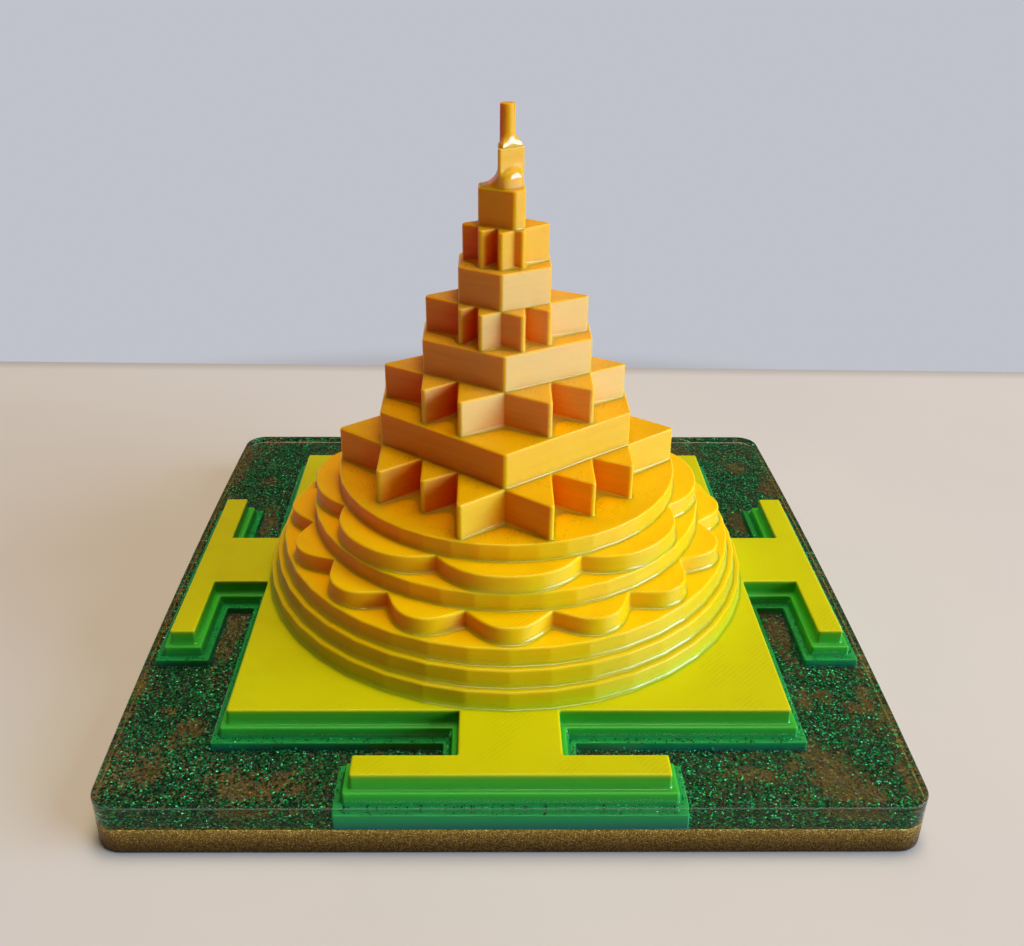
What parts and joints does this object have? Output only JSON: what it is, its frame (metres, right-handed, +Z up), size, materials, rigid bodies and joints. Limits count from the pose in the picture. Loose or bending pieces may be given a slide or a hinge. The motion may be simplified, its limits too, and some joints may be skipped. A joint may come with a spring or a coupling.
{
  "type": "meru shri yantra",
  "caption": "Three-dimensional shri yantra: gated square terraces, lotus rings and interlocking triangle tiers rising to a bindu spire, set in a square resin base.",
  "frame": {"origin": "middle of the underside of the square base, on the surface that it stands on", "axes": "+Z up to the bindu spire; -Y towards the front gate; -X towards the yantra's own top edge, so triangle base lines run along Y"},
  "size_m": [0.149, 0.149, 0.1173],
  "materials": {
    "gold_resin": "epoxy resin packed with fine gold-brown glitter, smooth moulded sides",
    "green_resin": "clear epoxy resin with green glitter flakes, gold showing through where the flakes are thin",
    "teal_print": "printed in a gradient filament and coated in clear glossy resin",
    "green_print": "printed in a gradient filament and coated in clear glossy resin",
    "lime_print": "printed in a gradient filament and coated in clear glossy resin",
    "yellow_print": "printed in a gradient filament and coated in clear glossy resin",
    "golden_print": "printed in a gradient filament and coated in clear glossy resin",
    "amber_print": "printed in a gradient filament and coated in clear glossy resin"
  },
  "bodies": {
    "root": {"gold_resin_layer": "gold_resin", "green_resin_layer": "green_resin", "lower_terrace": "teal_print", "middle_terrace": "green_print", "upper_terrace": "lime_print", "outer_ring": "yellow_print", "middle_ring": "yellow_print", "inner_ring": "yellow_print", "sixteen_petal_lotus": "golden_print", "sixteen_petal_disc": "golden_print", "eight_petal_lotus": "golden_print", "eight_petal_disc": "golden_print", "fourteen_point_star": "amber_print", "first_plate": "amber_print", "outer_ten_point_star": "amber_print", "second_plate": "amber_print", "inner_ten_point_star": "amber_print", "third_plate": "amber_print", "eight_point_star": "amber_print", "fourth_plate": "amber_print", "innermost_triangle": "amber_print", "bindu_spire": "amber_print"}
  },
  "joints": []
}
